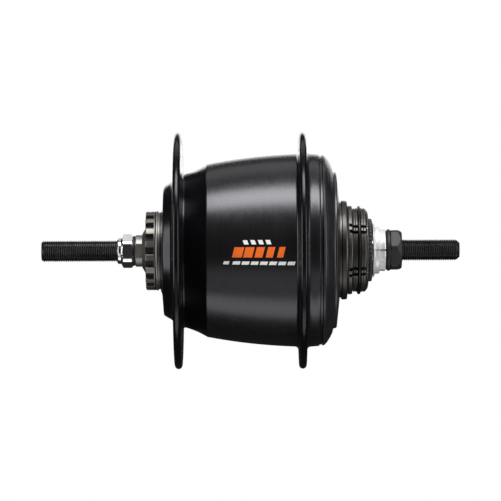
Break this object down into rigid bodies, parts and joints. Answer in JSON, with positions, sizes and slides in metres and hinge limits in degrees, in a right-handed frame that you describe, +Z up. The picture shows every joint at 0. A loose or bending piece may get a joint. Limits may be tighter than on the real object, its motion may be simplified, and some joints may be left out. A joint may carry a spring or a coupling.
{
  "type": "bicycle hub gear",
  "caption": "Rear bicycle hub with sealed planetary gears, spoke flanges, splined brake seat, grooved sprocket driver and turning shift sleeve.",
  "frame": {"origin": "on the hub's axis, halfway along the axle", "axes": "Y along the axle, +Y towards the brake side (the rider's left); +X forward; +Z up"},
  "size_m": [0.106, 0.187, 0.106],
  "materials": {
    "shell_black": "black anodised, brushed round the barrel, glossy flanges",
    "axle_black": "black oxide, matt",
    "bright_plating": "bright zinc or nickel plating",
    "satin_steel": "satin turned steel",
    "dark_steel": "heat treated, dark, lightly oiled",
    "black_steel": "black oxide, satin",
    "cap_black": "black, satin",
    "seal_black": "matt",
    "gear_steel": "hardened, ground, oiled",
    "ball_steel": "polished bearing steel",
    "retainer_steel": "stamped sheet steel",
    "spring_steel": "spring wire"
  },
  "bodies": {
    "axle_unit": {"axle": "axle_black", "left_locknut": "bright_plating", "left_lock_washer": "black_steel", "left_cone": "satin_steel", "left_dust_cone": "seal_black", "large_sun": "gear_steel", "sun_key": "gear_steel", "sun_thrust_washer": "retainer_steel", "axle_circlip": "spring_steel", "right_cone": "satin_steel", "right_locknut": "black_steel"},
    "shell_unit": {"hub_shell": "shell_black", "left_spoke_flange": "shell_black", "right_spoke_flange": "shell_black", "brake_seat_ring": "satin_steel", "brake_spline_ring": "satin_steel", "left_ball_cup": "dark_steel", "roller_race": "gear_steel", "right_ball_cup": "dark_steel", "right_dust_cap": "cap_black"},
    "driver_unit": {"driver": "dark_steel", "driver_dust_ring": "satin_steel", "sprocket_snap_ring": "black_steel", "driver_seal_ring": "seal_black"},
    "carrier_unit": {"planet_carrier": "gear_steel", "planet_pins": "ball_steel", "roller_cam": "gear_steel", "clutch_rollers": "ball_steel", "roller_cage": "retainer_steel"},
    "planet_gear_1": {"planet_1": "gear_steel"},
    "planet_gear_2": {"planet_2": "gear_steel"},
    "planet_gear_3": {"planet_3": "gear_steel"},
    "ring_gear_unit": {"ring_gear": "gear_steel", "pawl_spring_ring": "spring_steel"},
    "drive_pawl_1": {"pawl_1": "dark_steel"},
    "drive_pawl_2": {"pawl_2": "dark_steel"},
    "free_sun": {"small_sun": "gear_steel"},
    "left_bearing": {"left_balls": "ball_steel", "left_ball_retainer": "retainer_steel"},
    "main_bearing": {"main_balls": "ball_steel", "main_ball_retainer": "retainer_steel"},
    "driver_bearing": {"driver_balls": "ball_steel", "driver_ball_retainer": "retainer_steel"},
    "shift_sleeve_unit": {"shift_sleeve": "bright_plating", "shift_sleeve_head": "bright_plating"},
    "shift_key_unit": {"shift_key": "ball_steel", "shift_thrust_ring": "gear_steel"},
    "sliding_clutch": {"clutch_ring": "dark_steel", "clutch_spring": "spring_steel"}
  },
  "joints": [
    {"name": "shell_spin", "type": "hinge", "parent": "axle_unit", "child": "shell_unit", "pos_m": [0, 0, 0], "axis": [0, 1, 0], "continuous": true},
    {"name": "driver_spin", "type": "hinge", "parent": "axle_unit", "child": "driver_unit", "pos_m": [0, 0, 0], "axis": [0, 1, 0], "continuous": true},
    {"name": "carrier_spin", "type": "hinge", "parent": "axle_unit", "child": "carrier_unit", "pos_m": [0, 0, 0], "axis": [0, 1, 0], "continuous": true},
    {"name": "planet_1_spin", "type": "hinge", "parent": "carrier_unit", "child": "planet_gear_1", "pos_m": [0.021, 0, 0], "axis": [0, 1, 0], "continuous": true},
    {"name": "planet_2_spin", "type": "hinge", "parent": "carrier_unit", "child": "planet_gear_2", "pos_m": [-0.0105, 0, 0.01819], "axis": [0, 1, 0], "continuous": true},
    {"name": "planet_3_spin", "type": "hinge", "parent": "carrier_unit", "child": "planet_gear_3", "pos_m": [-0.0105, 0, -0.01819], "axis": [0, 1, 0], "continuous": true},
    {"name": "ring_gear_spin", "type": "hinge", "parent": "axle_unit", "child": "ring_gear_unit", "pos_m": [0, 0, 0], "axis": [0, 1, 0], "continuous": true},
    {"name": "free_sun_spin", "type": "hinge", "parent": "axle_unit", "child": "free_sun", "pos_m": [0, 0, 0], "axis": [0, 1, 0], "continuous": true},
    {"name": "left_bearing_spin", "type": "hinge", "parent": "axle_unit", "child": "left_bearing", "pos_m": [0, 0, 0], "axis": [0, 1, 0], "continuous": true},
    {"name": "main_bearing_spin", "type": "hinge", "parent": "axle_unit", "child": "main_bearing", "pos_m": [0, 0, 0], "axis": [0, 1, 0], "continuous": true},
    {"name": "driver_bearing_spin", "type": "hinge", "parent": "axle_unit", "child": "driver_bearing", "pos_m": [0, 0, 0], "axis": [0, 1, 0], "continuous": true},
    {"name": "pawl_1_swing", "type": "hinge", "parent": "ring_gear_unit", "child": "drive_pawl_1", "pos_m": [0.0316, -0.0187, 0], "axis": [0, 1, 0], "range_deg": [0, 8]},
    {"name": "pawl_2_swing", "type": "hinge", "parent": "ring_gear_unit", "child": "drive_pawl_2", "pos_m": [-0.0316, -0.0187, 0], "axis": [0, 1, 0], "range_deg": [0, 8]},
    {"name": "shift_turn", "type": "hinge", "parent": "axle_unit", "child": "shift_sleeve_unit", "pos_m": [0, -0.05, 0], "axis": [0, 1, 0], "range_deg": [0, 72]},
    {"name": "shift_key_slide", "type": "slide", "parent": "axle_unit", "child": "shift_key_unit", "axis": [0, -1, 0], "range_m": [0, 0.003]},
    {"name": "clutch_slide", "type": "slide", "parent": "driver_unit", "child": "sliding_clutch", "axis": [0, -1, 0], "range_m": [0, 0.003], "deforming": ["clutch_spring"]}
  ],
  "couplings": [
    {"joint": "driver_spin", "follows": "shell_spin", "ratio": 0.625},
    {"joint": "carrier_spin", "follows": "shell_spin", "ratio": 0.625},
    {"joint": "planet_1_spin", "follows": "shell_spin", "ratio": 1.25},
    {"joint": "planet_2_spin", "follows": "shell_spin", "ratio": 1.25},
    {"joint": "planet_3_spin", "follows": "shell_spin", "ratio": 1.25},
    {"joint": "ring_gear_spin", "follows": "shell_spin", "ratio": 1},
    {"joint": "free_sun_spin", "follows": "shell_spin", "ratio": -0.3125},
    {"joint": "left_bearing_spin", "follows": "shell_spin", "ratio": 0.60818},
    {"joint": "main_bearing_spin", "follows": "shell_spin", "ratio": 0.82966},
    {"joint": "driver_bearing_spin", "follows": "shell_spin", "ratio": 0.36322},
    {"joint": "pawl_2_swing", "follows": "pawl_1_swing", "ratio": 1},
    {"joint": "shift_key_slide", "follows": "shift_turn", "m_per_rad": 0.0023873},
    {"joint": "clutch_slide", "follows": "shift_turn", "m_per_rad": 0.0023873}
  ]
}
